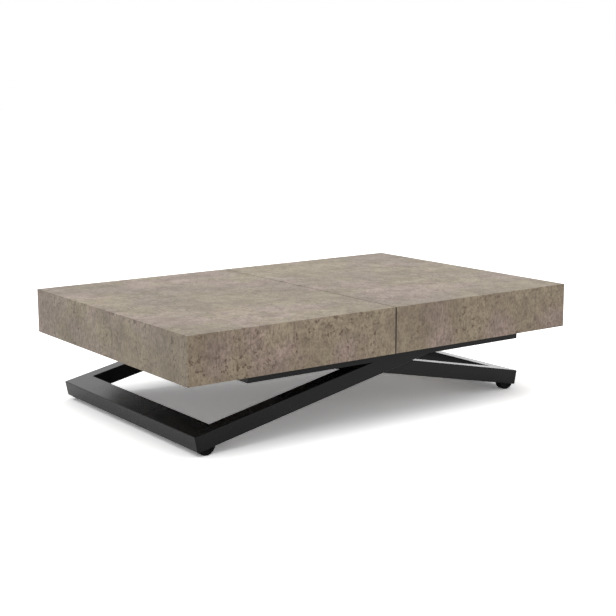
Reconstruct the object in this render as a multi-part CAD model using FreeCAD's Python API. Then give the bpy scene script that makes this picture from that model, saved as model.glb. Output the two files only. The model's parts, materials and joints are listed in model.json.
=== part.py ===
import FreeCAD, Part
import math
import os

# Low table whose top rises on a scissor of two leg frames and opens in the middle for two loose leaves.
# Millimetres. +X along the top, +Y to the back, +Z up. The origin is on the floor,
# below the middle of the top.

V = FreeCAD.Vector
ORIGIN = V(0, 0, 0)
FRONT = -1
REAR = 1
SIDES = (FRONT, REAR)
LEFT = -1
RIGHT = 1

# Table top, closed
top_length = 1200.0
top_depth = 800.0
side_height = 118.0      # visible height of the sides, board included
board = 18.0             # thickness of every board and leaf
seam_gap = 2.5           # between the two halves
extension = 430.0        # travel of each half, and so the width of a leaf
leaf_clearance = 3.0     # over the stored leaves
seam_pin_radius = 4.0
seam_pin_spacing = 400.0
seam_pin_grip = 22.0     # length held in the left board
seam_pin_reach = 12.0    # length that enters the right board

# Sub-frame under the top
frame_length = 868.0
frame_setback = 13.0     # behind the outer faces of the sides
rail_width = 36.0
rail_height = 16.0
rail_wall = 1.5
web = 3.0                # thickness of the upright side plates
glide_gap = 0.5          # under the sides and over the webs
cross_rail_width = 30.0
cross_rail_height = 30.0
leaf_bar_height = 5.0
leaf_bar_width = 25.0
leaf_bar_spacing = 320.0
leaf_post_length = 20.0
shaft_clearance = 11.0   # between the slide shaft and the leaf bars above it

# Telescopic slides
slide_height = 45.0
slide_depth = 12.7
slide_sheet = 2.0
slide_gap = 0.5
slide_end_gap = 1.0      # from a slide's ends to its half's seam edge and to the sub-frame's end
batten_height = 45.0

# Leg frames
leg_angle = 11.73        # slope of the legs with the table down
lift_angle = 33.0        # how far they swing up
legs_offset = -12.0      # the scissor bolts stand this far from the middle
foot_reach = 549.5       # from the scissor bolts to the outer face of a foot bar, along the leg
pivot_inset = 35.3       # from the sub-frame's left end to the slide shaft with the table down
leg_tail = 22.0          # leg beyond its top pivot
tube_width = 43.0
tube_height = 40.0
tube_wall = 2.5
tube_edge = 2.5          # radius of the tubes' edges
foot_width = 65.0
leg_side_gap = 4.0       # between the outer legs and the webs, filled by washers at the pivots
leg_gap = 7.0            # between the outer and the inner legs, filled by washers at the bolts
brace_reach = 200.0      # from the scissor bolts to the middle of a brace
brace_width = 30.0
brace_height = 25.0
brace_wall = 2.0
plug_head = 3.0
plug_spigot = 15.0

# Wheels
wheel_radius = 25.0
wheel_width = 22.0
wheel_edge = 3.0
wheel_show = 17.0        # stands out below the tube
wheel_gap = 1.5          # around the wheel
hub_radius = 9.0
rim_radius = 18.0
dish_depth = 2.0
axle_radius = 5.0
cheek = 2.0
cheek_width = 18.0
cheek_gap = 0.6

# Pivots and the sliding shaft
pivot_radius = 8.0
sleeve_radius = 11.0
press_gap = 0.02
running_gap = 0.05
washer_radius = 15.0
nut_flats = 24.0
nut_height = 8.0
bolt_end = 4.0           # bolt beyond its nut
bracket = 4.0
bracket_margin = 14.0    # bracket around the pivot
block_length = 50.0
block_height = 24.0
block_margin = 4.0       # from the track's mouth to the block
block_gap = 0.3
track_sheet = 3.0
track_depth = 46.0
track_margin = 10.0      # track beyond the block with the table up

# Gas springs
spring_spacing = 200.0
cylinder_radius = 11.0
cylinder_wall = 2.0
gland = 12.0
spring_rod_radius = 5.0
piston_radius = 8.5
piston_length = 12.0
spring_dead_length = 45.0
eye_radius = 12.0
eye_width = 14.0
eye_neck = 10.0
eye_gap = 12.0           # between an eye and its cylinder with the table up
stud_radius = 5.0
stud_length = 12.0
anchor_length = 15.0
anchor_size = 24.0

# Widths across the table
half_length = top_length / 2
half_depth = top_depth / 2
apron_inner = half_depth - board
frame_outer = half_depth - frame_setback
web_inner = frame_outer - rail_width
web_outer = web_inner + web
outer_half_width = web_inner - leg_side_gap
inner_half_width = outer_half_width - tube_width - leg_gap
frame_end = frame_length / 2

# Scissor, worked out from the foot: the wheels stand on the floor
tilt = math.radians(leg_angle)
raised_tilt = math.radians(leg_angle + lift_angle)
axle_inset = tube_wall + wheel_gap + wheel_radius
axle_drop = tube_height / 2 + wheel_show - wheel_radius
axle_reach = foot_reach - axle_inset
wheel_setback = tube_wall + cheek + cheek_gap
arm_reach = (legs_offset + frame_end - pivot_inset) / math.cos(tilt)
scissor_z = wheel_radius + axle_reach * math.sin(tilt) + axle_drop * math.cos(tilt)
pivot_z = scissor_z + arm_reach * math.sin(tilt)
pivot_x = legs_offset + arm_reach * math.cos(tilt)
shaft_x = legs_offset - arm_reach * math.cos(tilt)
shaft_travel = 2 * arm_reach * (math.cos(tilt) - math.cos(raised_tilt))

# Heights of the top, hung on the top pivots
bar_bottom = pivot_z + pivot_radius + shaft_clearance
leaf_bed = bar_bottom + leaf_bar_height
board_bottom = leaf_bed + 2 * board + leaf_clearance
top_z = board_bottom + board
side_bottom = top_z - side_height
rail_top = side_bottom - glide_gap
rail_bottom = rail_top - rail_height
web_top = board_bottom - glide_gap
slide_z = (rail_top + web_top) / 2

# Lengths along the gas springs
gland_x = shaft_x + shaft_travel + eye_radius + eye_gap
cylinder_length = shaft_travel + spring_dead_length
cylinder_end = gland_x + cylinder_length
cross_rail_x = cylinder_end + anchor_length


def box(x0, x1, y0, y1, z0, z1):
    return Part.makeBox(x1 - x0, y1 - y0, z1 - z0, V(x0, y0, z0))


def side_box(side, x0, x1, near, far, z0, z1):
    """Box on the front or rear side, from one distance off the middle to another."""
    y0, y1 = sorted((side * near, side * far))
    return box(x0, x1, y0, y1, z0, z1)


def rod(radius, x, z, y0, y1):
    """Round bar across the table."""
    return Part.makeCylinder(radius, y1 - y0, V(x, y0, z), V(0, 1, 0))


def side_rod(side, radius, x, z, near, far):
    y0, y1 = sorted((side * near, side * far))
    return rod(radius, x, z, y0, y1)


def bar(radius, y, z, x0, x1):
    """Round bar along the table."""
    return Part.makeCylinder(radius, x1 - x0, V(x0, y, z), V(1, 0, 0))


def prism(points, sweep):
    """Solid swept along a vector from a closed outline."""
    return Part.Face(Part.makePolygon(points + [points[0]])).extrude(sweep)


def mirrored(shape, normal):
    return shape.mirror(ORIGIN, normal)


def group(shapes):
    return Part.makeCompound(shapes)


def on_both_sides(make):
    return group([make(side) for side in SIDES])


def round_edges(shape, radius, wanted):
    return shape.makeFillet(radius, [edge for edge in shape.Edges if wanted(edge)])


def runs_lengthways(edge):
    start, end = [vertex.Point for vertex in edge.Vertexes]
    return abs(end.x - start.x) > edge.Length / 2


# Leg frames are drawn lying flat, with the scissor bolts at the origin and the top pivot at +X.
# The outer frame rises to the right. The inner one is its narrower mirror image and rises to the left.

def stood_up(shape, rise):
    """Turn a flat leg frame's piece to its slope and set it on the scissor bolts' line."""
    piece = shape if rise == RIGHT else mirrored(shape, V(1, 0, 0))
    piece.rotate(ORIGIN, V(0, 1, 0), -rise * leg_angle)
    piece.translate(V(legs_offset, 0, scissor_z))
    return piece


def leg(half_width, side):
    start = foot_width - foot_reach
    end = arm_reach + leg_tail
    half = tube_height / 2
    inner = half_width - tube_width
    tube = side_box(side, start, end, inner, half_width, -half, half)
    tube = round_edges(tube, tube_edge, runs_lengthways)
    low, high = tube_wall - half, half - tube_wall
    tube = tube.cut(side_box(side, start, end, inner + tube_wall, half_width - tube_wall, low, high))
    for x in (0.0, arm_reach):
        tube = tube.cut(side_rod(side, sleeve_radius, x, 0.0, inner, half_width))
    return tube


def wheel_middle(half_width):
    return half_width - wheel_setback - wheel_width / 2


def foot_bar(half_width):
    """Tube across the floor end, closed at both ends, with a slot below for each wheel."""
    outer = -foot_reach
    half = tube_height / 2
    inner = outer + foot_width
    tube = box(outer, inner, -half_width, half_width, -half, half)
    tube = round_edges(tube, tube_edge, lambda edge: edge.CenterOfMass.x < inner - tube_edge)
    closed = half_width - tube_wall
    low, high = tube_wall - half, half - tube_wall
    tube = tube.cut(box(outer + tube_wall, inner - tube_wall, -closed, closed, low, high))
    slot = wheel_radius + wheel_gap
    near = wheel_middle(half_width) - wheel_width / 2 - wheel_gap
    far = wheel_middle(half_width) + wheel_width / 2 + wheel_gap
    for side in SIDES:
        tube = tube.cut(side_box(side, -axle_reach - slot, -axle_reach + slot, near, far, -half, low))
    return tube


def wheel_cheeks(half_width, gap):
    """Plates inside the foot bar that hold the axle on both sides of each wheel."""
    half = tube_height / 2 - tube_wall
    plates = []
    for side in SIDES:
        for direction in (-1, 1):
            face = wheel_middle(half_width) + direction * (wheel_width / 2 + cheek_gap)
            far = face + direction * cheek
            x0 = -axle_reach - cheek_width / 2
            plate = side_box(side, x0, x0 + cheek_width, face, far, -half, half)
            hole = side_rod(side, axle_radius + gap, -axle_reach, -axle_drop, face, far)
            plates.append(plate.cut(hole))
    return group(plates)


def brace(half_width):
    """Square tube that ties the two legs of a frame together above the scissor bolts."""
    inner = half_width - tube_width
    x0 = brace_reach - brace_width / 2
    x1 = brace_reach + brace_width / 2
    half = brace_height / 2
    tube = box(x0, x1, -inner, inner, -half, half)
    hollow_half = half - brace_wall
    return tube.cut(box(x0 + brace_wall, x1 - brace_wall, -inner, inner, -hollow_half, hollow_half))


def leg_plugs(half_width):
    """Plugs in the upper ends of the legs."""
    end = arm_reach + leg_tail
    half = tube_height / 2
    inner = half_width - tube_width
    inside = tube_wall + press_gap

    def plug(side):
        head = side_box(side, end, end + plug_head, inner, half_width, -half, half)
        head = round_edges(head, tube_edge, runs_lengthways)
        low, high = inside - half, half - inside
        spigot = side_box(side, end - plug_spigot, end, inner + inside, half_width - inside, low, high)
        bore = side_rod(side, sleeve_radius + press_gap, arm_reach, 0.0, inner, half_width)
        return head.fuse(spigot.cut(bore)).removeSplitter()

    return on_both_sides(plug)


def sleeve(half_width, side, x, gap):
    inner = half_width - tube_width
    outside = side_rod(side, sleeve_radius - press_gap, x, 0.0, inner, half_width)
    return outside.cut(side_rod(side, pivot_radius + gap, x, 0.0, inner, half_width))


def sleeves(half_width, bolt_gap):
    """Bearing sleeves welded through the legs at the scissor bolts and at the top pivots."""
    places = ((0.0, bolt_gap), (arm_reach, running_gap))
    return group([sleeve(half_width, side, x, gap) for side in SIDES for x, gap in places])


def scissor_bolt(side):
    end = inner_half_width - tube_width - nut_height - bolt_end
    return side_rod(side, pivot_radius, 0.0, 0.0, end, outer_half_width)


def scissor_nut(side):
    radius = nut_flats / math.sqrt(3)
    face = inner_half_width - tube_width
    corners = [math.radians(60 * turn) for turn in range(6)]
    start = side * face
    points = [V(radius * math.cos(turn), start, radius * math.sin(turn)) for turn in corners]
    nut = prism(points, V(0, -side * nut_height, 0))
    return nut.cut(side_rod(side, pivot_radius + press_gap, 0.0, 0.0, face - nut_height, face))


def washer(side, x, near, far, gap):
    ring = side_rod(side, washer_radius, x, 0.0, near, far)
    return ring.cut(side_rod(side, pivot_radius + gap, x, 0.0, near, far))


def pivot_washers():
    """Washers between the two leg frames, and on both sides of the outer legs at the top pivots."""
    inner = outer_half_width - tube_width
    places = (
        (0.0, inner_half_width, inner, press_gap),
        (arm_reach, inner - leg_side_gap, inner, running_gap),
        (arm_reach, outer_half_width, web_inner, running_gap),
    )
    return group([washer(side, *place) for side in SIDES for place in places])


def axle(half_width):
    end = half_width - tube_wall - press_gap
    return rod(axle_radius, -axle_reach, -axle_drop, -end, end)


def wheel(half_width, side):
    middle = side * wheel_middle(half_width)
    y0 = middle - wheel_width / 2
    y1 = middle + wheel_width / 2
    x, z = -axle_reach, -axle_drop
    disc = rod(wheel_radius, x, z, y0, y1)
    disc = round_edges(disc, wheel_edge, lambda edge: len(edge.Vertexes) == 1)
    for start, end in ((y0, y0 + dish_depth), (y1 - dish_depth, y1)):
        disc = disc.cut(rod(rim_radius, x, z, start, end).cut(rod(hub_radius, x, z, start, end)))
    return disc.cut(rod(axle_radius + running_gap, x, z, y0, y1))


def leg_frame(name, half_width, rise, axle_gap, bolt_gap):
    """Named pieces of one leg frame, standing in place."""
    flat = {
        f"{name}_front_leg": leg(half_width, FRONT),
        f"{name}_rear_leg": leg(half_width, REAR),
        f"{name}_foot_bar": foot_bar(half_width),
        f"{name}_wheel_cheeks": wheel_cheeks(half_width, axle_gap),
        f"{name}_brace": brace(half_width),
        f"{name}_leg_plugs": leg_plugs(half_width),
        f"{name}_sleeves": sleeves(half_width, bolt_gap),
    }
    return {node: stood_up(shape, rise) for node, shape in flat.items()}


def legs_and_wheels():
    pieces = leg_frame("outer", outer_half_width, RIGHT, press_gap, press_gap)
    pieces.update(leg_frame("inner", inner_half_width, LEFT, running_gap, running_gap))
    pieces["scissor_bolts"] = stood_up(on_both_sides(scissor_bolt), RIGHT)
    pieces["scissor_nuts"] = stood_up(on_both_sides(scissor_nut), RIGHT)
    pieces["pivot_washers"] = stood_up(pivot_washers(), RIGHT)
    pieces["left_axle"] = stood_up(axle(outer_half_width), RIGHT)
    pieces["right_axle"] = stood_up(axle(inner_half_width), LEFT)
    for side, place in ((FRONT, "front"), (REAR, "rear")):
        pieces[f"{place}_left_wheel"] = stood_up(wheel(outer_half_width, side), RIGHT)
        pieces[f"{place}_right_wheel"] = stood_up(wheel(inner_half_width, side), LEFT)
    return pieces


# Sub-frame: a mitred frame of flat tube, upright side plates and what hangs between them.

def mitred_tube(long_half, short_half, outer, inner):
    """Tube along X on the front side, its ends cut at 45 degrees, hollow from end to end."""
    def section(shrink, z0, z1):
        far, near = outer - shrink, inner + shrink
        points = [
            V(-(long_half - shrink), -far, z0),
            V(long_half - shrink, -far, z0),
            V(short_half + shrink, -near, z0),
            V(-(short_half + shrink), -near, z0),
        ]
        return prism(points, V(0, 0, z1 - z0))

    hollow = section(rail_wall, rail_bottom + rail_wall, rail_top - rail_wall)
    return section(0.0, rail_bottom, rail_top).cut(hollow)


def side_rail(side):
    tube = mitred_tube(frame_end, frame_end - rail_width, frame_outer, web_inner)
    return tube if side == FRONT else mirrored(tube, V(0, 1, 0))


def end_rail(end):
    tube = mitred_tube(frame_outer, web_inner, frame_end, frame_end - rail_width)
    tube.rotate(ORIGIN, V(0, 0, 1), end * 90)
    return tube


def side_web(side):
    plate = side_box(side, -frame_end, frame_end, web_inner, web_outer, rail_top, web_top)
    return plate.cut(side_rod(side, pivot_radius + press_gap, pivot_x, pivot_z, web_inner, web_outer))


def cross_rail():
    x0, x1 = cross_rail_x, cross_rail_x + cross_rail_width
    z0, z1 = bar_bottom - cross_rail_height, bar_bottom
    tube = box(x0, x1, -web_inner, web_inner, z0, z1)
    hollow = box(x0 + rail_wall, x1 - rail_wall, -web_inner, web_inner, z0 + rail_wall, z1 - rail_wall)
    return tube.cut(hollow)


def leaf_bar(side):
    near = (leaf_bar_spacing - leaf_bar_width) / 2
    return side_box(side, -frame_end, frame_end, near, near + leaf_bar_width, bar_bottom, leaf_bed)


def leaf_posts():
    near = (leaf_bar_spacing - leaf_bar_width) / 2
    far = near + leaf_bar_width
    posts = []
    for side in SIDES:
        for x in (-frame_end, frame_end - leaf_post_length):
            posts.append(side_box(side, x, x + leaf_post_length, near, far, rail_top, bar_bottom))
    return group(posts)


def slide_track(side):
    """Channel on the web, open towards the middle, that the slide block runs in."""
    near = web_inner - track_depth
    end = shaft_x + shaft_travel + block_length / 2 + track_margin
    inside = block_height / 2 + block_gap
    outside = inside + track_sheet
    back = web_inner - track_sheet
    channel = side_box(side, -frame_end, end, near, web_inner, pivot_z - outside, pivot_z + outside)
    return channel.cut(side_box(side, -frame_end, end, near, back, pivot_z - inside, pivot_z + inside))


def top_pivot_pin(side):
    near = outer_half_width - tube_width - leg_side_gap - bracket
    return side_rod(side, pivot_radius, pivot_x, pivot_z, near, web_outer)


def top_pivot_bracket(side):
    """Plate on the right end rail that holds the inner end of a top pivot pin."""
    far = outer_half_width - tube_width - leg_side_gap
    low, high = pivot_z - bracket_margin, pivot_z + bracket_margin
    points = [
        V(frame_end - rail_width, side * far, rail_top),
        V(frame_end, side * far, rail_top),
        V(frame_end, side * far, high),
        V(pivot_x - bracket_margin, side * far, high),
        V(pivot_x - bracket_margin, side * far, low),
        V(frame_end - rail_width, side * far, low),
    ]
    plate = prism(points, V(0, -side * bracket, 0))
    return plate.cut(side_rod(side, pivot_radius + press_gap, pivot_x, pivot_z, far - bracket, far))


def spring_cylinder(side):
    """Tube of a pulling gas spring, with its gland at the left and its stud at the right."""
    y = side * spring_spacing / 2
    tube = bar(cylinder_radius, y, pivot_z, gland_x, cylinder_end)
    tube = tube.fuse(bar(stud_radius, y, pivot_z, cylinder_end, cylinder_end + stud_length))
    bore = bar(cylinder_radius - cylinder_wall, y, pivot_z, gland_x + gland, cylinder_end - cylinder_wall)
    return tube.cut(bore).cut(bar(spring_rod_radius + running_gap, y, pivot_z, gland_x, gland_x + gland))


def spring_anchor(side):
    y = side * spring_spacing / 2
    half = anchor_size / 2
    block = box(cylinder_end, cross_rail_x, y - half, y + half, pivot_z - half, pivot_z + half)
    return block.cut(bar(stud_radius + press_gap, y, pivot_z, cylinder_end, cylinder_end + stud_length))


def leaf(layer):
    z0 = leaf_bed + layer * board
    return box(-half_depth, half_depth, -extension / 2, extension / 2, z0, z0 + board)


def sub_frame():
    return {
        "front_side_rail": side_rail(FRONT),
        "rear_side_rail": side_rail(REAR),
        "left_end_rail": end_rail(LEFT),
        "right_end_rail": end_rail(RIGHT),
        "front_web": side_web(FRONT),
        "rear_web": side_web(REAR),
        "cross_rail": cross_rail(),
        "leaf_bars": on_both_sides(leaf_bar),
        "leaf_posts": leaf_posts(),
        "slide_tracks": on_both_sides(slide_track),
        "top_pivot_pins": on_both_sides(top_pivot_pin),
        "top_pivot_brackets": on_both_sides(top_pivot_bracket),
        "gas_spring_cylinders": on_both_sides(spring_cylinder),
        "gas_spring_anchors": on_both_sides(spring_anchor),
        "lower_leaf": leaf(0),
        "upper_leaf": leaf(1),
    }


# Carriage: the shaft through the inner legs' upper ends, its blocks in the tracks and the spring rods.

def slide_block(side):
    near = web_inner - track_depth + block_margin
    far = web_inner - track_sheet - block_gap
    half = block_height / 2
    x0, x1 = shaft_x - block_length / 2, shaft_x + block_length / 2
    block = side_box(side, x0, x1, near, far, pivot_z - half, pivot_z + half)
    return block.cut(side_rod(side, pivot_radius + press_gap, shaft_x, pivot_z, near, far))


def spring_eye(side):
    middle = side * spring_spacing / 2
    y0, y1 = middle - eye_width / 2, middle + eye_width / 2
    ring = rod(eye_radius, shaft_x, pivot_z, y0, y1)
    neck = bar(eye_width / 2, middle, pivot_z, shaft_x, shaft_x + eye_radius + eye_neck)
    eye = ring.fuse(neck).cut(rod(pivot_radius + press_gap, shaft_x, pivot_z, y0, y1))
    socket_x = shaft_x + eye_radius
    return eye.cut(bar(spring_rod_radius + press_gap, middle, pivot_z, socket_x, socket_x + eye_neck))


def spring_rod(side):
    y = side * spring_spacing / 2
    end = gland_x + gland + piston_length
    shank = bar(spring_rod_radius, y, pivot_z, shaft_x + eye_radius, end)
    piston = bar(piston_radius, y, pivot_z, end, end + piston_length)
    return shank.fuse(piston)


def carriage():
    shaft_end = web_inner - track_sheet - block_gap
    return {
        "slide_shaft": rod(pivot_radius, shaft_x, pivot_z, -shaft_end, shaft_end),
        "slide_blocks": on_both_sides(slide_block),
        "gas_spring_eyes": on_both_sides(spring_eye),
        "gas_spring_rods": on_both_sides(spring_rod),
    }


# Telescopic slides: an outer channel on the web, a middle one and an inner one on the half's batten.

def slide_channel(side, end, near, far, height, opens_out):
    """Channel along one side of a half. The back is on the far side where it doesn't open outwards."""
    x0, x1 = sorted((end * (seam_gap / 2 + slide_end_gap), end * (frame_end - slide_end_gap)))
    half = height / 2
    inside = half - slide_sheet
    channel = side_box(side, x0, x1, near, far, slide_z - half, slide_z + half)
    back = (near + slide_sheet, far) if opens_out else (near, far - slide_sheet)
    return channel.cut(side_box(side, x0, x1, *back, slide_z - inside, slide_z + inside))


def slide_outer(side, end):
    near = web_outer
    far = near + slide_depth - slide_sheet - slide_gap
    return slide_channel(side, end, near, far, slide_height, True)


def slide_middle(side, end):
    near = web_outer + slide_sheet + slide_gap
    height = slide_height - 2 * (slide_sheet + slide_gap)
    far = web_outer + slide_depth - slide_sheet - slide_gap
    return slide_channel(side, end, near, far, height, True)


def slide_inner(side, end):
    near = web_outer + 2 * (slide_sheet + slide_gap)
    height = slide_height - 4 * (slide_sheet + slide_gap)
    return slide_channel(side, end, near, web_outer + slide_depth, height, False)


def batten(side, end):
    """Strip inside the long side of a half that carries the slide's inner channel."""
    near = web_outer + slide_depth
    x0, x1 = sorted((end * (seam_gap / 2 + slide_end_gap), end * (half_length - board)))
    half = batten_height / 2
    return side_box(side, x0, x1, near, apron_inner, slide_z - half, slide_z + half)


def seam_pin(side):
    y = side * seam_pin_spacing / 2
    start = -seam_gap / 2 - seam_pin_grip
    return bar(seam_pin_radius, y, board_bottom + board / 2, start, seam_gap / 2 + seam_pin_reach)


def seam_hole(side, end):
    """Room for a seam pin in the edge of a half: held fast on the left, free on the right."""
    y, z = side * seam_pin_spacing / 2, board_bottom + board / 2
    if end == LEFT:
        return bar(seam_pin_radius + press_gap, y, z, -seam_gap / 2 - seam_pin_grip, -seam_gap / 2)
    depth = seam_pin_reach + block_gap
    return bar(seam_pin_radius + block_gap, y, z, seam_gap / 2, seam_gap / 2 + depth)


# Halves of the top: boards folded down at the three outer edges, with mitred corners.

def top_board(end):
    """Board with its three outer edges cut at 45 degrees, drawn as a slice of a pyramid's foot."""
    seam = end * seam_gap / 2
    lower = [
        V(seam, -apron_inner, board_bottom),
        V(end * (half_length - board), -apron_inner, board_bottom),
        V(end * (half_length - board), apron_inner, board_bottom),
        V(seam, apron_inner, board_bottom),
    ]
    upper = [
        V(seam, -half_depth, top_z),
        V(end * half_length, -half_depth, top_z),
        V(end * half_length, half_depth, top_z),
        V(seam, half_depth, top_z),
    ]
    slab = solid_between(lower, upper)
    for side in SIDES:
        slab = slab.cut(seam_hole(side, end))
    return slab


def solid_between(lower, upper):
    """Solid with flat faces between two four-cornered outlines, corner to corner."""
    outlines = [lower, upper]
    for corner in range(4):
        following = (corner + 1) % 4
        outlines.append([lower[corner], lower[following], upper[following], upper[corner]])
    faces = [Part.Face(Part.makePolygon(points + [points[0]])) for points in outlines]
    solid = Part.makeSolid(Part.makeShell(faces))
    return solid if solid.Volume > 0 else solid.reversed()


def long_apron(side, end):
    """Front or rear side of a half, mitred to the board above and to the end at its outer corner."""
    seam = end * seam_gap / 2
    outer = [
        V(seam, side * half_depth, side_bottom),
        V(end * half_length, side * half_depth, side_bottom),
        V(end * half_length, side * half_depth, top_z),
        V(seam, side * half_depth, top_z),
    ]
    inner = [
        V(seam, side * apron_inner, side_bottom),
        V(end * (half_length - board), side * apron_inner, side_bottom),
        V(end * (half_length - board), side * apron_inner, board_bottom),
        V(seam, side * apron_inner, board_bottom),
    ]
    return solid_between(inner, outer)


def end_apron(end):
    outer = [
        V(end * half_length, -half_depth, side_bottom),
        V(end * half_length, half_depth, side_bottom),
        V(end * half_length, half_depth, top_z),
        V(end * half_length, -half_depth, top_z),
    ]
    inner = [
        V(end * (half_length - board), -apron_inner, side_bottom),
        V(end * (half_length - board), apron_inner, side_bottom),
        V(end * (half_length - board), apron_inner, board_bottom),
        V(end * (half_length - board), -apron_inner, board_bottom),
    ]
    return solid_between(inner, outer)


def half_top(name, end):
    return {
        f"{name}_top_board": top_board(end),
        f"{name}_front_apron": long_apron(FRONT, end),
        f"{name}_rear_apron": long_apron(REAR, end),
        f"{name}_end_apron": end_apron(end),
        f"{name}_battens": on_both_sides(lambda side: batten(side, end)),
        f"{name}_slide_inners": on_both_sides(lambda side: slide_inner(side, end)),
        f"{name}_slide_middles": on_both_sides(lambda side: slide_middle(side, end)),
        f"{name}_slide_outers": on_both_sides(lambda side: slide_outer(side, end)),
    }


def main():
    pieces = legs_and_wheels()
    pieces.update(sub_frame())
    pieces.update(carriage())
    pieces.update(half_top("left", LEFT))
    pieces.update(half_top("right", RIGHT))
    pieces["seam_pins"] = on_both_sides(seam_pin)
    os.makedirs("parts", exist_ok=True)
    for node, shape in pieces.items():
        shape.exportStep(f"parts/{node}.step")
    print(f"{len(pieces)} pieces, height {top_z:.2f}, slide shaft travel {shaft_travel:.2f}")


main()
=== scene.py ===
import json
import math

import bmesh
import bpy
from mathutils import Matrix, Vector


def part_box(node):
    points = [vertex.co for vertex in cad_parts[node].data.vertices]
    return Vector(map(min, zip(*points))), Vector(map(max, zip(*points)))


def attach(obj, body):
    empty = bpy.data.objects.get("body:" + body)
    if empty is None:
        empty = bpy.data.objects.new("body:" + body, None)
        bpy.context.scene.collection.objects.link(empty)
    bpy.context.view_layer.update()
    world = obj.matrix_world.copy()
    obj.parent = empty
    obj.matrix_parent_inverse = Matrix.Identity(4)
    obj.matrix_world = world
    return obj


# Low table with a concrete-look top on crossed black legs. Metres, in the frame of the solids:
# +X along the top, +Y to the back, +Z up, the floor at zero.

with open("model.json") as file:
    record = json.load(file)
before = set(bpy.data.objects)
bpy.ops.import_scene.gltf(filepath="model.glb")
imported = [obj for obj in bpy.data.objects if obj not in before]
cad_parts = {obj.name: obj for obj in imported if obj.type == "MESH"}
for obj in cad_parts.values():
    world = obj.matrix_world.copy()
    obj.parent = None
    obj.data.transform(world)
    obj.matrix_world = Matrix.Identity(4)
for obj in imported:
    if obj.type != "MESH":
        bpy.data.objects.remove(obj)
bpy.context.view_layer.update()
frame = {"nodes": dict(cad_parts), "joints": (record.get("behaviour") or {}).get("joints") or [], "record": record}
nodes = frame["nodes"]

ALONG = Vector((1.0, 0.0, 0.0))
BACK = Vector((0.0, 1.0, 0.0))
UP = Vector((0.0, 0.0, 1.0))
QUARTER_TURN = math.pi / 2

# Camera of the photograph
PHOTO_SIZE = 616         # pixels
FOCAL_PIXELS = 1271.8
SENSOR = 36.0            # millimetres
CAMERA_PLACE = Vector((-1.9912, -2.7956, 0.86496))
CAMERA_YAW = math.radians(35.70)     # from +Y towards +X
CAMERA_PITCH = math.radians(10.26)   # downwards
CAMERA_ROLL = math.radians(-0.23)

# Light: a plain surface that faces up and sees everything gets AMBIENT + OVERHEAD of white
AMBIENT = 0.56
OVERHEAD = 0.44
OVERHEAD_SPREAD = math.radians(75)   # how wide the soft overhead light is
FLOOR_SIDE = 60.0
FLOOR_SHADE = 0.80       # as it lights the table
FLOOR_MIRRORED = 1.08    # as metal mirrors it, about as white as the background
FLOOR_SEEN = 1.65        # as the camera sees it, so that only the shadow shows
FLOOR_LIFT = 0.15        # added where the camera sees it, so that the shadow stays pale

# Concrete print of the top, the sides and the leaves
PRINT_PLACE = (8.7, 7.4, 7.6)        # the part of the endless print that the table is cut from
FACE_LIMIT = 0.7         # least share of the normal along an axis, for a face that counts as facing that way
GRAIN_SQUEEZE = 0.60     # of the print in Z, which draws the grain and the blots out upwards
STREAK_SQUEEZE = 0.09    # of the print along a streak
FLECK_STRENGTH = 0.76
SIDE_BLOTS = 0.76        # strength of the blots on the sides
TOP_BLOTS = 0.42         # and on the top
PIT_SPACING = 0.040
PITLESS = 0.62           # share of the places for pits that stay bare
PIT_STRENGTH = 0.80
PAINTED_LIGHT_GREYING = 0.14           # share of painted sheen on the top and of painted shade on the ends
GAP_SHADE_REACH = 0.0006       # reach of the painted shade on the edges where the two halves meet
LAMINATE = 0.0012        # sheet on the top, above the painted shade

# Other finishes
CLEAR_FILM_IOR = 1.2     # the film on the powder coat shows only at flat angles
RING_SQUEEZE = 0.04      # of the beech along its grain, for the rings
BEECH_FLECK_SQUEEZE = 0.12           # and for the flecks

# Bolts that hold the gas springs' anchors
BOLT_FLATS = 0.013
BOLT_SIDES = 6
BOLT_HEAD = 0.0053
BOLT_CHAMFER = 0.0007
WASHER_RADIUS = 0.0085
WASHER_SIDES = 48
WASHER = 0.0016
WASHER_EDGE = 0.0003

# Screws of the telescopic slides
SCREW_RADIUS = 0.0042
SCREW_HEAD = 0.00035     # low enough for the middle channel to pass
SCREW_DOME = 0.4         # how far the rim lies below the middle, of the head's height
SCREW_INSET = 0.035      # from a channel's ends to its outer screws
SCREWS_PER_CHANNEL = 3
CROSS_REACH = 0.0024
CROSS_WIDTH = 0.0010
CROSS_DEPTH = 0.00028
HEAD_RINGS = 14
HEAD_SPOKES = 64
LEVEL_DIGITS = 5         # rounds the levels of a channel's faces to 0.01 mm

# Weld beads
BEAD = 0.0032
BEAD_PITCH = 0.0038      # from one ripple to the next
BEAD_RIPPLE = 0.16       # how much a ripple stands out, of the bead's size
BEAD_STEP = 0.0006
BEAD_FACETS = 5
SMOOTH_ANGLE = math.radians(35)


def srgb(red, green, blue):
    """Linear colour of a display colour given as 0 to 255."""
    def linear(level):
        level = level / 255
        return level / 12.92 if level <= 0.04045 else ((level + 0.055) / 1.055) ** 2.4
    return (linear(red), linear(green), linear(blue), 1.0)


def grey(level):
    return (level, level, level, 1.0)


WHITE = grey(1.0)

# Colours of the concrete print
OLIVE = srgb(183, 166, 138)
PINKISH = srgb(191, 167, 155)
CLOUD_BROWN = srgb(120, 105, 90)
MOTTLE_BROWN = srgb(112, 97, 83)
GRAIN_BROWN = srgb(100, 86, 72)
STREAK_BROWN = srgb(98, 84, 72)
FLECK_BROWN = srgb(80, 57, 38)
PIT_BROWN = srgb(74, 54, 38)
# Grey of the painted sheen on the top and of the painted shade on the ends
PAINTED_LIGHT_GREY = srgb(118, 124, 114)
# Painted shade in the gap where the two halves meet
GAP_SHADE_BROWN = srgb(38, 33, 28)

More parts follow.
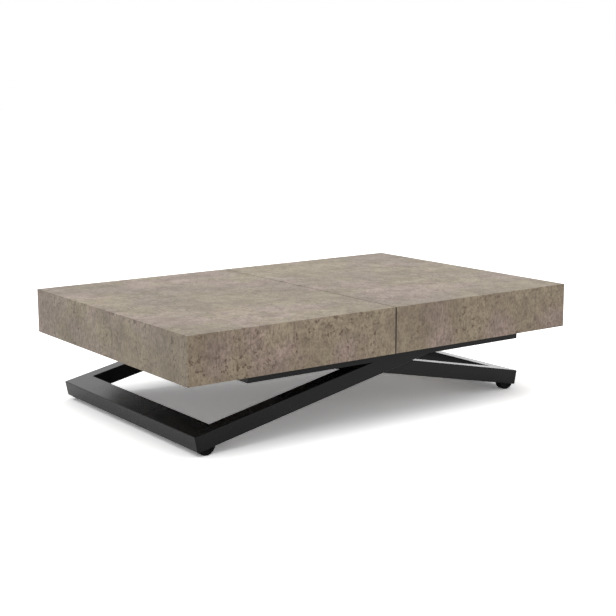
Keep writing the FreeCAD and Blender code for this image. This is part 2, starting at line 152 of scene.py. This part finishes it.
# Colours of the bare metals and of the beech
ZINC = srgb(196, 196, 190)
SLIDE_ZINC = srgb(190, 193, 196)
CHROME = srgb(215, 216, 219)
BEECH_DARK = srgb(196, 160, 118)
BEECH_PALE = srgb(214, 182, 142)
BEECH_FLECK = srgb(150, 108, 70)


def feed(tree, socket, value):
    """Links an input to another node's output, or sets it to a plain value."""
    if isinstance(value, bpy.types.NodeSocket):
        tree.links.new(value, socket)
    else:
        socket.default_value = value


def add_node(tree, kind, inputs, **settings):
    """New node with these settings, and with its inputs fed by their names or numbers."""
    made = tree.nodes.new(kind)
    for setting, value in settings.items():
        setattr(made, setting, value)
    for key, value in inputs.items():
        feed(tree, made.inputs[key], value)
    return made


class Finish:
    """One material. Its methods add nodes and return their outputs, to be used as inputs of others.

    Its patterns are endless, and start is the place in them of the frame's origin.
    """

    def __init__(self, name, start=(0.0, 0.0, 0.0)):
        self.start = start
        self.material = bpy.data.materials.new(name)
        self.material.use_nodes = True
        self.tree = self.material.node_tree
        self.shader = self.tree.nodes["Principled BSDF"]

    def node(self, kind, inputs, **settings):
        return add_node(self.tree, kind, inputs, **settings)

    def set(self, **inputs):
        """Inputs of the shader, with spaces in their names written as underscores."""
        for key, value in inputs.items():
            feed(self.tree, self.shader.inputs[key.replace("_", " ")], value)
        return self.material

    def spot(self):
        """Place on the object in metres."""
        return self.node("ShaderNodeTexCoord", {}).outputs["Object"]

    def place(self, scale=(1.0, 1.0, 1.0), turned=False):
        """Place in the patterns in metres, after a quarter turn about Z if turned, times the scale."""
        here = self.node("ShaderNodeVectorMath", {0: self.spot(), 1: self.start}, operation="ADD").outputs[0]
        if turned:
            here = self.node("ShaderNodeMapping", {0: here, "Rotation": (0, 0, QUARTER_TURN)}).outputs[0]
        return self.node("ShaderNodeVectorMath", {0: here, 1: scale}, operation="MULTIPLY").outputs[0]

    def split(self, vector):
        return self.node("ShaderNodeSeparateXYZ", {0: vector}).outputs

    def noise(self, where, size, detail=3.0, roughness=0.5, warp=0.0):
        """Cloudy noise from 0 to 1 with features of about that size."""
        inputs = {"Vector": where, "Scale": 1.0 / size, "Detail": detail, "Roughness": roughness}
        inputs["Distortion"] = warp
        return self.node("ShaderNodeTexNoise", inputs).outputs[0]

    def ramp(self, value, low, high, start=0.0, end=1.0):
        """Smooth change from start to end while the value goes from low to high."""
        inputs = {0: value, "From Min": low, "From Max": high, "To Min": start, "To Max": end}
        return self.node("ShaderNodeMapRange", inputs, interpolation_type="SMOOTHSTEP").outputs[0]

    def math(self, operation, first, second):
        return self.node("ShaderNodeMath", {0: first, 1: second}, operation=operation).outputs[0]

    def absolute(self, value):
        return self.node("ShaderNodeMath", {0: value}, operation="ABSOLUTE").outputs[0]

    def times(self, first, second):
        return self.math("MULTIPLY", first, second)

    def plus(self, first, second):
        return self.math("ADD", first, second)

    def above(self, value, limit):
        return self.math("GREATER_THAN", value, limit)

    def below(self, value, limit):
        return self.math("LESS_THAN", value, limit)

    def mix(self, amount, first, second):
        return self.node("ShaderNodeMix", {0: amount, 6: first, 7: second}, data_type="RGBA").outputs[2]

    def veil(self, colour, tint, pattern, low, high, most):
        """Colour under a tint that grows to its most while the pattern goes from low to high."""
        return self.mix(self.ramp(pattern, low, high, end=most), colour, tint)

    def bump(self, height, depth, strength):
        inputs = {"Height": height, "Distance": depth, "Strength": strength}
        return self.node("ShaderNodeBump", inputs).outputs[0]


def concrete_laminate(name, turned=False, gap_shade=None):
    """Warm grey concrete print: olive and pinkish clouds, upright streaks, dark flecks, blots and small pits.

    Painted sheen makes the top, and painted shade the ends, a little greyer than the long sides. The last argument
    gives the reach in X and the top in Z of the painted shade on the edges that meet in the middle.
    """
    finish = Finish(name, PRINT_PLACE)
    facing = finish.split(finish.node("ShaderNodeTexCoord", {}).outputs["Normal"])
    is_end = finish.above(finish.absolute(facing["X"]), FACE_LIMIT)
    is_top = finish.above(facing["Z"], FACE_LIMIT)
    plain = finish.place(turned=turned)
    upright = finish.place((1.0, 1.0, GRAIN_SQUEEZE), turned)
    side_streaks = finish.place((1.0, STREAK_SQUEEZE, STREAK_SQUEEZE), turned)
    end_streaks = finish.place((STREAK_SQUEEZE, 1.0, STREAK_SQUEEZE), turned)
    streak_place = finish.mix(is_end, side_streaks, end_streaks)

    # Patterns
    hue = finish.noise(plain, size=0.20, roughness=0.55)
    drift = finish.noise(plain, size=0.30, detail=2.0)
    clouds = finish.noise(plain, size=0.070, detail=6.0, roughness=0.70)
    mottle = finish.noise(plain, size=0.024, detail=4.0, roughness=0.65)
    grain = finish.noise(upright, size=0.0055, roughness=0.65)
    lines = finish.noise(streak_place, size=0.0045, detail=2.0, roughness=0.6)
    line_groups = finish.noise(plain, size=0.090, detail=2.0)
    specks = finish.noise(plain, size=0.0085, detail=4.0, roughness=0.62)
    speck_groups = finish.noise(plain, size=0.160, detail=5.0, roughness=0.60)
    spots = finish.noise(upright, size=0.018, roughness=0.55)
    spot_groups = finish.noise(plain, size=0.120)
    cells = finish.node("ShaderNodeTexVoronoi", {"Vector": plain, "Scale": 1.0 / PIT_SPACING}).outputs
    chance = finish.node("ShaderNodeSeparateColor", {0: cells["Color"]}).outputs[0]

    # Marks, each from 0 to at most 1
    grouped_lines = finish.ramp(line_groups, low=0.40, high=0.65, start=0.05, end=0.45)
    streaks = finish.times(finish.ramp(lines, low=0.48, high=0.70), grouped_lines)
    grouped_specks = finish.ramp(speck_groups, low=0.36, high=0.62)
    flecks = finish.times(finish.ramp(specks, low=0.55, high=0.63), grouped_specks)
    grouped_spots = finish.ramp(spot_groups, low=0.46, high=0.60)
    blots = finish.times(finish.ramp(spots, low=0.58, high=0.66), grouped_spots)
    blot_strength = finish.ramp(is_top, low=0.0, high=1.0, start=SIDE_BLOTS, end=TOP_BLOTS)
    dots = finish.ramp(cells["Distance"], low=0.035, high=0.065, start=1.0, end=0.0)
    pits = finish.times(dots, finish.above(chance, PITLESS))

    # Colour, from the ground up
    colour = finish.mix(finish.ramp(hue, low=0.45, high=0.60), OLIVE, PINKISH)
    colour = finish.veil(colour, CLOUD_BROWN, drift, low=0.35, high=0.65, most=0.46)
    colour = finish.veil(colour, CLOUD_BROWN, clouds, low=0.38, high=0.66, most=0.46)
    colour = finish.veil(colour, MOTTLE_BROWN, mottle, low=0.47, high=0.61, most=0.38)
    colour = finish.veil(colour, GRAIN_BROWN, grain, low=0.45, high=0.60, most=0.44)
    colour = finish.mix(streaks, colour, STREAK_BROWN)
    colour = finish.mix(finish.times(flecks, FLECK_STRENGTH), colour, FLECK_BROWN)
    colour = finish.mix(finish.times(blots, blot_strength), colour, FLECK_BROWN)
    colour = finish.mix(finish.times(pits, PIT_STRENGTH), colour, PIT_BROWN)
    # Painted sheen on the top and painted shade on the ends, greyed by which way the face points
    painted_light_faces = finish.math("MAXIMUM", is_top, is_end)
    colour = finish.mix(finish.times(painted_light_faces, PAINTED_LIGHT_GREYING), colour, PAINTED_LIGHT_GREY)
    # Painted shade on the edges where the two halves meet, below the top sheet
    if gap_shade:
        reach, top = gap_shade
        spot = finish.split(finish.spot())
        near = finish.below(finish.absolute(spot["X"]), reach)
        under = finish.below(spot["Z"], top)
        colour = finish.mix(finish.times(near, under), colour, GAP_SHADE_BROWN)

    hollows = finish.plus(finish.plus(grain, streaks), finish.plus(flecks, pits))
    return finish.set(
        Base_Color=colour,
        Roughness=finish.ramp(clouds, low=0.3, high=0.7, start=0.46, end=0.56),
        Specular_IOR_Level=0.5,
        Normal=finish.bump(finish.times(hollows, -1.0), depth=0.00012, strength=0.5),
    )


def coated_steel(name, level, roughness, specular):
    """Black powder coat with a fine orange peel, under a thin clear film."""
    finish = Finish(name)
    plain = finish.place()
    drift = finish.noise(plain, size=0.06)
    peel = finish.noise(plain, size=0.0011, detail=2.0)
    paler = grey(level * 1.4)
    spread = 0.03        # of the roughness, either way
    return finish.set(
        Base_Color=finish.mix(finish.ramp(drift, low=0.3, high=0.7), grey(level), paler),
        Roughness=finish.ramp(drift, low=0.3, high=0.7, start=roughness - spread, end=roughness + spread),
        Specular_IOR_Level=specular,
        Coat_Weight=1.0,
        Coat_Roughness=roughness,
        Coat_IOR=CLEAR_FILM_IOR,
        Normal=finish.bump(peel, depth=0.00006, strength=0.25),
    )


def moulded(name, level, roughness):
    """Moulded black nylon or rubber with a fine matt texture."""
    finish = Finish(name)
    plain = finish.place()
    speckle = finish.noise(plain, size=0.0009, roughness=0.6)
    wear = finish.noise(plain, size=0.012, detail=4.0)
    worn = grey(level * 1.8)
    worn_roughness = roughness + 0.12
    return finish.set(
        Base_Color=finish.mix(finish.ramp(wear, low=0.4, high=0.75), grey(level), worn),
        Roughness=finish.ramp(wear, low=0.3, high=0.7, start=roughness, end=worn_roughness),
        Specular_IOR_Level=0.12,
        Normal=finish.bump(speckle, depth=0.00008, strength=0.5),
    )


def bright_steel(name, colour, roughness, brushed):
    """Plated steel. Brushed is how far its fine lines are drawn out along X."""
    finish = Finish(name)
    lines = finish.noise(finish.place((1.0 / brushed, 1.0, 1.0)), size=0.0006, detail=2.0)
    bloom = finish.noise(finish.place(), size=0.025, detail=4.0, roughness=0.6)
    pale = tuple(channel * 1.12 for channel in colour[:3]) + (1.0,)
    dull_roughness = roughness + 0.10
    return finish.set(
        Base_Color=finish.mix(finish.ramp(bloom, low=0.35, high=0.65), colour, pale),
        Metallic=1.0,
        Roughness=finish.ramp(bloom, low=0.3, high=0.7, start=roughness, end=dull_roughness),
        Normal=finish.bump(lines, depth=0.00002, strength=0.4),
    )


def planed_beech(name):
    """Pale beech with its grain along X and short dark flecks."""
    finish = Finish(name)
    ring_place = finish.place((RING_SQUEEZE, 1.0, 1.0))
    fleck_place = finish.place((BEECH_FLECK_SQUEEZE, 1.0, 1.0))
    rings = finish.noise(ring_place, size=0.006, detail=4.0, roughness=0.6, warp=0.6)
    flecks = finish.noise(fleck_place, size=0.0012, detail=2.0)
    colour = finish.mix(finish.ramp(rings, low=0.3, high=0.7), BEECH_DARK, BEECH_PALE)
    return finish.set(
        Base_Color=finish.veil(colour, BEECH_FLECK, flecks, low=0.60, high=0.75, most=0.5),
        Roughness=finish.ramp(rings, low=0.3, high=0.7, start=0.50, end=0.62),
        Normal=finish.bump(flecks, depth=0.0001, strength=0.4),
    )


# Reach and top of the painted shade in the gap between the two halves
seam_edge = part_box("right_top_board")[0].x
board_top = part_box("right_top_board")[1].z
gap_shade_span = (seam_edge + GAP_SHADE_REACH, board_top - LAMINATE)
FINISHES = {
    "concrete_laminate": concrete_laminate("concrete_laminate", gap_shade=gap_shade_span),
    "leg_black": coated_steel("leg_black", level=0.006, roughness=0.25, specular=0.10),
    "frame_black": coated_steel("frame_black", level=0.006, roughness=0.38, specular=0.08),
    "cylinder_black": coated_steel("cylinder_black", level=0.006, roughness=0.14, specular=0.5),
    "black_nylon": moulded("black_nylon", level=0.010, roughness=0.40),
    "wheel_rubber": moulded("wheel_rubber", level=0.004, roughness=0.55),
    "zinc_steel": bright_steel("zinc_steel", ZINC, roughness=0.30, brushed=1.0),
    "slide_steel": bright_steel("slide_steel", SLIDE_ZINC, roughness=0.26, brushed=30.0),
    "chromed_rod": bright_steel("chromed_rod", CHROME, roughness=0.10, brushed=1.0),
    "batten_wood": planed_beech("batten_wood"),
}
LEAF_FINISH = concrete_laminate("leaf_laminate", turned=True)


def paint(piece, material):
    piece.data.materials.clear()
    piece.data.materials.append(material)


def paint_nodes():
    """Each solid gets the finish of its slot, and the leaves get the print turned to their length."""
    slots = {part["node"]: part["material_slot"] for part in frame["record"]["subparts"]}
    for name, piece in nodes.items():
        paint(piece, LEAF_FINISH if name.endswith("_leaf") else FINISHES[slots[name]])


def add_object(name, data):
    made = bpy.data.objects.new(name, data)
    bpy.context.scene.collection.objects.link(made)
    return made


def add_piece(name, builder, body, slot):
    """Scene piece from a finished mesh, on its body and with the finish of its slot."""
    bmesh.ops.recalc_face_normals(builder, faces=builder.faces)
    for face in builder.faces:
        face.smooth = True
    mesh = bpy.data.meshes.new(name)
    builder.to_mesh(mesh)
    builder.free()
    mesh.set_sharp_from_angle(angle=SMOOTH_ANGLE)
    piece = add_object(name, mesh)
    paint(piece, FINISHES[slot])
    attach(piece, body)


def skin(builder, rings):
    """Closed surface over a row of rings of equally many points."""
    rows = [[builder.verts.new(point) for point in ring] for ring in rings]
    for first, second in zip(rows, rows[1:]):
        for here in range(len(first)):
            after = (here + 1) % len(first)
            builder.faces.new((first[here], first[after], second[after], second[here]))
    builder.faces.new(rows[0])
    builder.faces.new(rows[-1])


def standing(point, outwards):
    """Placement with its own Z axis outwards from a point."""
    return Matrix.Translation(point) @ outwards.to_track_quat("Z", "Y").to_matrix().to_4x4()


def circle(radius, height, sides):
    turns = [2 * math.pi * side / sides for side in range(sides)]
    return [Vector((radius * math.cos(turn), radius * math.sin(turn), height)) for turn in turns]


def add_turned(builder, profile, sides, place):
    """Turned or many-sided solid from a profile of radii and heights."""
    skin(builder, [[place @ point for point in circle(radius, height, sides)] for radius, height in profile])


def add_bolt(builder, place):
    """Hexagon head on a washer."""
    washer = [
        (WASHER_RADIUS, 0.0),
        (WASHER_RADIUS, WASHER - WASHER_EDGE),
        (WASHER_RADIUS - WASHER_EDGE, WASHER),
        (BOLT_FLATS / 2, WASHER),
    ]
    add_turned(builder, washer, WASHER_SIDES, place)
    corner = BOLT_FLATS / math.sqrt(3)
    top = WASHER + BOLT_HEAD
    head = [(corner, WASHER), (corner, top - BOLT_CHAMFER), (corner - BOLT_CHAMFER, top)]
    add_turned(builder, head, BOLT_SIDES, place)


def add_screw(builder, place):
    """Low domed head with a cross recess."""
    rings = [circle(SCREW_RADIUS, 0.0, HEAD_SPOKES)]
    for ring in range(HEAD_RINGS):
        share = 1 - ring / HEAD_RINGS
        points = circle(SCREW_RADIUS * share, SCREW_HEAD * (1 - SCREW_DOME * share ** 2), HEAD_SPOKES)
        for point in points:
            short, long = sorted((abs(point.x), abs(point.y)))
            if short < CROSS_WIDTH / 2 and long < CROSS_REACH:
                point.z -= CROSS_DEPTH
        rings.append(points)
    skin(builder, [[place @ point for point in ring] for ring in rings])


def add_bead(builder, start, end, wall, surface):
    """Rippled weld bead in an inside corner, between the directions that lead away along its two faces."""
    steps = round((end - start).length / BEAD_STEP)
    turns = [QUARTER_TURN * facet / BEAD_FACETS for facet in range(BEAD_FACETS + 1)]
    rings = []
    for step in range(steps + 1):
        ripple = abs(math.sin(math.pi * step * BEAD_STEP / BEAD_PITCH))
        size = BEAD * (1 + BEAD_RIPPLE * ripple)
        corner = start.lerp(end, step / steps)
        curve = [corner + size * (math.cos(turn) * wall + math.sin(turn) * surface) for turn in turns]
        rings.append([corner] + curve)
    skin(builder, rings)


def add_end_welds(name, node, body, slot, along, upright):
    """Beads around both ends of a tube that runs across the table, where it meets its neighbours."""
    def span(axis):
        levels = [vertex.co.dot(axis) for vertex in nodes[node].data.vertices]
        return min(levels), max(levels)

    x0, x1 = span(along)
    z0, z1 = span(upright)
    builder = bmesh.new()
    for y in span(BACK):
        inwards = BACK if y < 0 else -BACK
        for x, out in ((x0, -along), (x1, along)):
            foot = x * along + y * BACK
            add_bead(builder, foot + z0 * upright, foot + z1 * upright, out, inwards)
        for z, out in ((z0, -upright), (z1, upright)):
            foot = y * BACK + z * upright
            add_bead(builder, foot + x0 * along, foot + x1 * along, out, inwards)
    add_piece(name, builder, body, slot)


def add_welds():
    places = {joint["name"]: Vector(joint["pos_m"]) for joint in frame["joints"] if "pos_m" in joint}
    for legs, top in (("outer", "top_pivot"), ("inner", "shaft_pivot")):
        along = (places[top] - places["scissor_pivot"]).normalized()
        upright = Vector((-along.z, 0.0, along.x))
        add_end_welds(f"{legs}_brace_welds", f"{legs}_brace", f"{legs}_legs", "leg_black", along, upright)
    add_end_welds("cross_rail_welds", "cross_rail", "sub_frame", "frame_black", ALONG, UP)


def add_anchor_bolts():
    """One bolt through the cross rail into the anchor of each gas spring."""
    low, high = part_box("gas_spring_anchors")
    half = (high.z - low.z) / 2
    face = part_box("cross_rail")[1].x
    builder = bmesh.new()
    for y in (low.y + half, high.y - half):
        add_bolt(builder, standing(Vector((face, y, low.z + half)), ALONG))
    add_piece("anchor_bolts", builder, "sub_frame", "zinc_steel")


def add_slide_screws():
    """Screws that hold the outer channels of the slides to the webs, with their heads inside the channels."""
    builder = bmesh.new()
    for node in ("left_slide_outers", "right_slide_outers"):
        low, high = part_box(node)
        levels = sorted({round(abs(vertex.co.y), LEVEL_DIGITS) for vertex in nodes[node].data.vertices})
        inside = levels[1]       # the first level is on the web
        start = low.x + SCREW_INSET
        end = high.x - SCREW_INSET
        for number in range(SCREWS_PER_CHANNEL):
            x = start + (end - start) * number / (SCREWS_PER_CHANNEL - 1)
            for side in (-1, 1):
                point = Vector((x, side * inside, (low.z + high.z) / 2))
                add_screw(builder, standing(point, Vector((0.0, side, 0.0))))
    add_piece("slide_screws", builder, "sub_frame", "zinc_steel")


def add_camera():
    level = Vector((math.cos(CAMERA_YAW), -math.sin(CAMERA_YAW), 0.0))
    ahead = Vector((math.sin(CAMERA_YAW), math.cos(CAMERA_YAW), 0.0)) * math.cos(CAMERA_PITCH)
    ahead.z = -math.sin(CAMERA_PITCH)
    upright = level.cross(ahead)
    right = math.cos(CAMERA_ROLL) * level + math.sin(CAMERA_ROLL) * upright
    up = math.cos(CAMERA_ROLL) * upright - math.sin(CAMERA_ROLL) * level
    data = bpy.data.cameras.new("camera")
    data.sensor_fit = "HORIZONTAL"
    data.sensor_width = SENSOR
    data.lens = FOCAL_PIXELS / PHOTO_SIZE * SENSOR
    camera = add_object("camera", data)
    turn = Matrix((right, up, -ahead)).transposed().to_4x4()
    camera.matrix_world = Matrix.Translation(CAMERA_PLACE) @ turn
    bpy.context.scene.camera = camera


def seen_directly(tree):
    """1 for camera, mirror and glass rays, 0 for the rays that light the object."""
    path = add_node(tree, "ShaderNodeLightPath", {}).outputs
    seen = path["Is Camera Ray"]
    for ray in ("Is Glossy Ray", "Is Transmission Ray"):
        seen = add_node(tree, "ShaderNodeMath", {0: seen, 1: path[ray]}, operation="MAXIMUM").outputs[0]
    return seen


def add_world():
    """White all round where it is seen, and of the ambient strength where it lights the object."""
    world = bpy.data.worlds.new("studio")
    world.use_nodes = True
    tree = world.node_tree
    lit = tree.nodes["Background"]
    feed(tree, lit.inputs["Color"], WHITE)
    feed(tree, lit.inputs["Strength"], AMBIENT)
    seen = add_node(tree, "ShaderNodeBackground", {"Color": WHITE, "Strength": 1.0})
    shaders = {0: seen_directly(tree), 1: lit.outputs[0], 2: seen.outputs[0]}
    choice = add_node(tree, "ShaderNodeMixShader", shaders)
    feed(tree, tree.nodes["World Output"].inputs["Surface"], choice.outputs[0])
    bpy.context.scene.world = world


def add_lamp():
    """Wide soft light from straight above, the same all over the floor."""
    data = bpy.data.lights.new("overhead", "SUN")
    data.energy = OVERHEAD * math.pi
    data.angle = OVERHEAD_SPREAD
    lamp = add_object("overhead", data)
    lamp.visible_glossy = False


def floor_paint():
    """Matt white, lighter where metal mirrors it and where the camera sees it."""
    material = bpy.data.materials.new("floor")
    material.use_nodes = True
    tree = material.node_tree
    tree.nodes.remove(tree.nodes["Principled BSDF"])
    camera_ray = add_node(tree, "ShaderNodeLightPath", {}).outputs["Is Camera Ray"]
    other_shades = {"Value": seen_directly(tree), "To Min": FLOOR_SHADE, "To Max": FLOOR_MIRRORED}
    lit_or_mirrored = add_node(tree, "ShaderNodeMapRange", other_shades).outputs[0]
    shades = {"Value": camera_ray, "To Min": lit_or_mirrored, "To Max": FLOOR_SEEN}
    shade = add_node(tree, "ShaderNodeMapRange", shades).outputs[0]
    matt = add_node(tree, "ShaderNodeBsdfDiffuse", {"Color": shade}).outputs[0]
    lifted = {0: camera_ray, 1: FLOOR_LIFT}
    strength = add_node(tree, "ShaderNodeMath", lifted, operation="MULTIPLY").outputs[0]
    glow = add_node(tree, "ShaderNodeEmission", {"Strength": strength}).outputs[0]
    both = add_node(tree, "ShaderNodeAddShader", {0: matt, 1: glow}).outputs[0]
    feed(tree, tree.nodes["Material Output"].inputs["Surface"], both)
    return material


def add_floor():
    """Plain white floor, on which only the shadow shows."""
    half = FLOOR_SIDE / 2
    corners = [(-half, -half, 0), (half, -half, 0), (half, half, 0), (-half, half, 0)]
    mesh = bpy.data.meshes.new("floor")
    mesh.from_pydata(corners, [], [(0, 1, 2, 3)])
    mesh.materials.append(floor_paint())
    floor = add_object("floor", mesh)


paint_nodes()
add_welds()
add_anchor_bolts()
add_slide_screws()
add_world()
add_lamp()
add_floor()
add_camera()
bpy.context.scene.view_settings.view_transform = "Standard"
